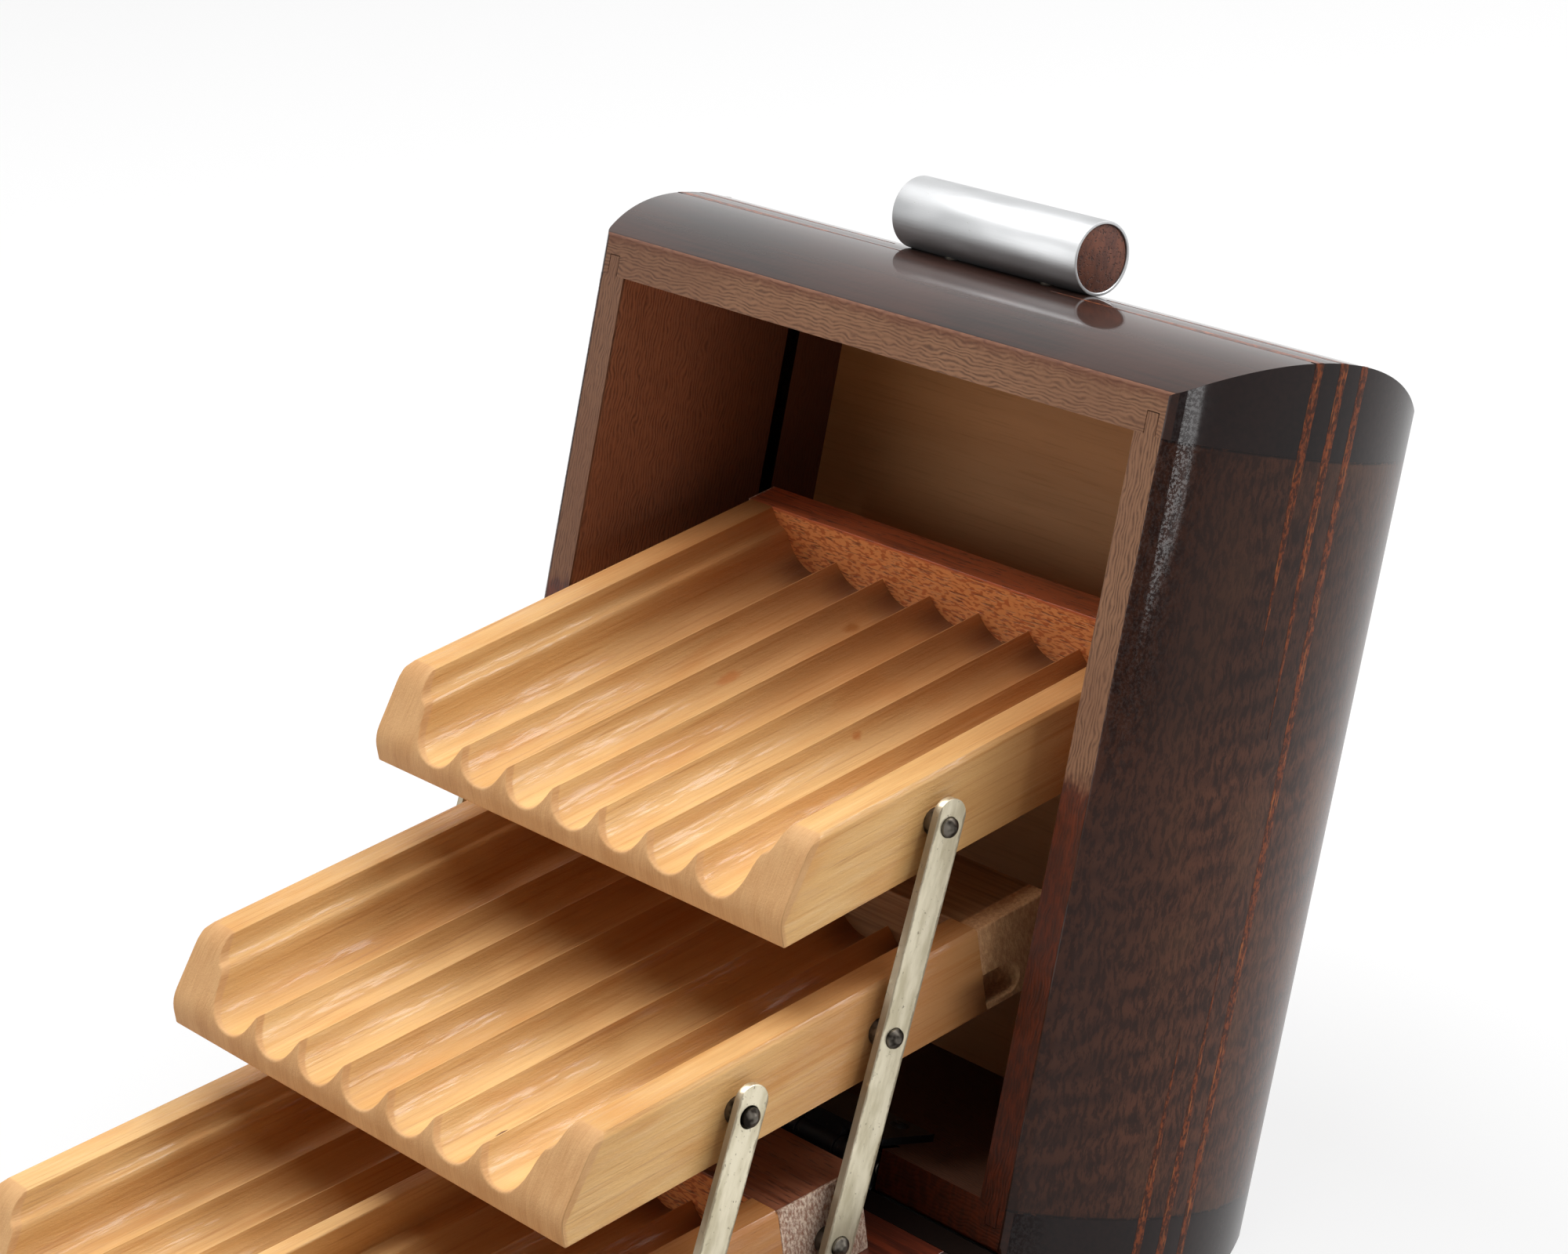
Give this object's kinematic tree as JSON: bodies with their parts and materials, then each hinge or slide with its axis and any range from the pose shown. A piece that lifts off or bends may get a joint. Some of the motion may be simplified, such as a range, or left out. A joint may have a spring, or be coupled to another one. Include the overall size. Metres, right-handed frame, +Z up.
{
  "type": "cigarette box",
  "caption": "Hinged wooden box with bulging sides whose lid raises stepped, grooved cigarette trays on swinging metal bars.",
  "frame": {"origin": "middle of the base's underside", "axes": "+Z up, -Y towards the front of the box, +X to the right seen from the front"},
  "size_m": [0.121, 0.1832, 0.1236],
  "materials": {
    "dark_lacquer": "high gloss dark brown lacquer over wood",
    "burl_veneer": "glossy mottled dark brown veneer",
    "pale_wood": "varnished pale honey wood",
    "mahogany": "red-brown wood, end grain left rough",
    "deck_wood": "orange-red stained and varnished wood",
    "plywood": "smooth tan plywood",
    "inlay_wood": "red-orange inlaid lines",
    "dowel_wood": "red-brown dowel end grain",
    "plated_steel": "worn nickel plating",
    "dark_steel": "dark steel pins",
    "black_steel": "black painted steel",
    "aluminium": "brushed aluminium tube",
    "screw_steel": "plain steel screws"
  },
  "bodies": {
    "base": {"base_front_wall": "dark_lacquer", "base_back_wall": "dark_lacquer", "base_left_wall": "dark_lacquer", "base_right_wall": "dark_lacquer", "base_deck": "deck_wood", "base_bottom_board": "plywood", "base_hinge_leaves": "black_steel", "base_hinge_screws": "black_steel", "bottom_tray_board": "pale_wood", "bottom_tray_divider": "pale_wood", "bottom_tray_block": "mahogany", "bottom_tray_pins": "dark_steel"},
    "hinge_pins": {"hinge_pins": "dark_steel"},
    "lid": {"lid_front_wall": "dark_lacquer", "lid_back_wall": "dark_lacquer", "lid_left_wall": "burl_veneer", "lid_right_wall": "burl_veneer", "lid_top_panel": "plywood", "lid_inlay_lines": "inlay_wood", "lid_hinge_leaves": "black_steel", "lid_hinge_screws": "black_steel", "handle_tube": "aluminium", "handle_core": "dowel_wood", "handle_screws": "screw_steel"},
    "left_long_bar": {"left_long_bar": "plated_steel"},
    "right_long_bar": {"right_long_bar": "plated_steel"},
    "left_short_bar": {"left_short_bar": "plated_steel"},
    "right_short_bar": {"right_short_bar": "plated_steel"},
    "middle_tray": {"middle_tray_board": "pale_wood", "middle_tray_block": "pale_wood", "middle_tray_pins": "dark_steel"},
    "top_tray": {"top_tray_board": "pale_wood", "top_tray_block": "mahogany", "top_tray_pins": "dark_steel", "top_tray_studs": "dark_steel"}
  },
  "joints": [
    {"name": "lid_fold", "type": "hinge", "parent": "base", "child": "hinge_pins", "pos_m": [0, 0.05087, 0.01885], "axis": [1, 0, 0], "range_deg": [0, 102.46]},
    {"name": "lid_settle", "type": "hinge", "parent": "hinge_pins", "child": "lid", "pos_m": [0, 0.05087, 0.01885], "axis": [1, 0, 0], "range_deg": [0, 9]},
    {"name": "left_long_bar_swing", "type": "hinge", "parent": "base", "child": "left_long_bar", "pos_m": [0, 0.03237, 0.02199], "axis": [1, 0, 0], "range_deg": [0, 88.5]},
    {"name": "right_long_bar_swing", "type": "hinge", "parent": "base", "child": "right_long_bar", "pos_m": [0, 0.03237, 0.02199], "axis": [1, 0, 0], "range_deg": [0, 88.5]},
    {"name": "left_short_bar_swing", "type": "hinge", "parent": "base", "child": "left_short_bar", "pos_m": [0, 0.00926, 0.02199], "axis": [1, 0, 0], "range_deg": [0, 88.9]},
    {"name": "right_short_bar_swing", "type": "hinge", "parent": "base", "child": "right_short_bar", "pos_m": [0, 0.00926, 0.02199], "axis": [1, 0, 0], "range_deg": [0, 88.9]},
    {"name": "middle_tray_level", "type": "hinge", "parent": "right_long_bar", "child": "middle_tray", "pos_m": [0, 0.04414, 0.04561], "axis": [1, 0, 0], "range_deg": [-90.1, 0]},
    {"name": "top_tray_level", "type": "hinge", "parent": "right_long_bar", "child": "top_tray", "pos_m": [0, 0.05592, 0.06922], "axis": [1, 0, 0], "range_deg": [-91.31, 0]}
  ],
  "couplings": [
    {"joint": "left_long_bar_swing", "follows": "lid_fold", "ratio": 0.86375},
    {"joint": "right_long_bar_swing", "follows": "lid_fold", "ratio": 0.86375},
    {"joint": "left_short_bar_swing", "follows": "lid_fold", "ratio": 0.86765},
    {"joint": "right_short_bar_swing", "follows": "lid_fold", "ratio": 0.86765},
    {"joint": "middle_tray_level", "follows": "lid_fold", "ratio": -0.87937},
    {"joint": "top_tray_level", "follows": "lid_fold", "ratio": -0.89118}
  ]
}
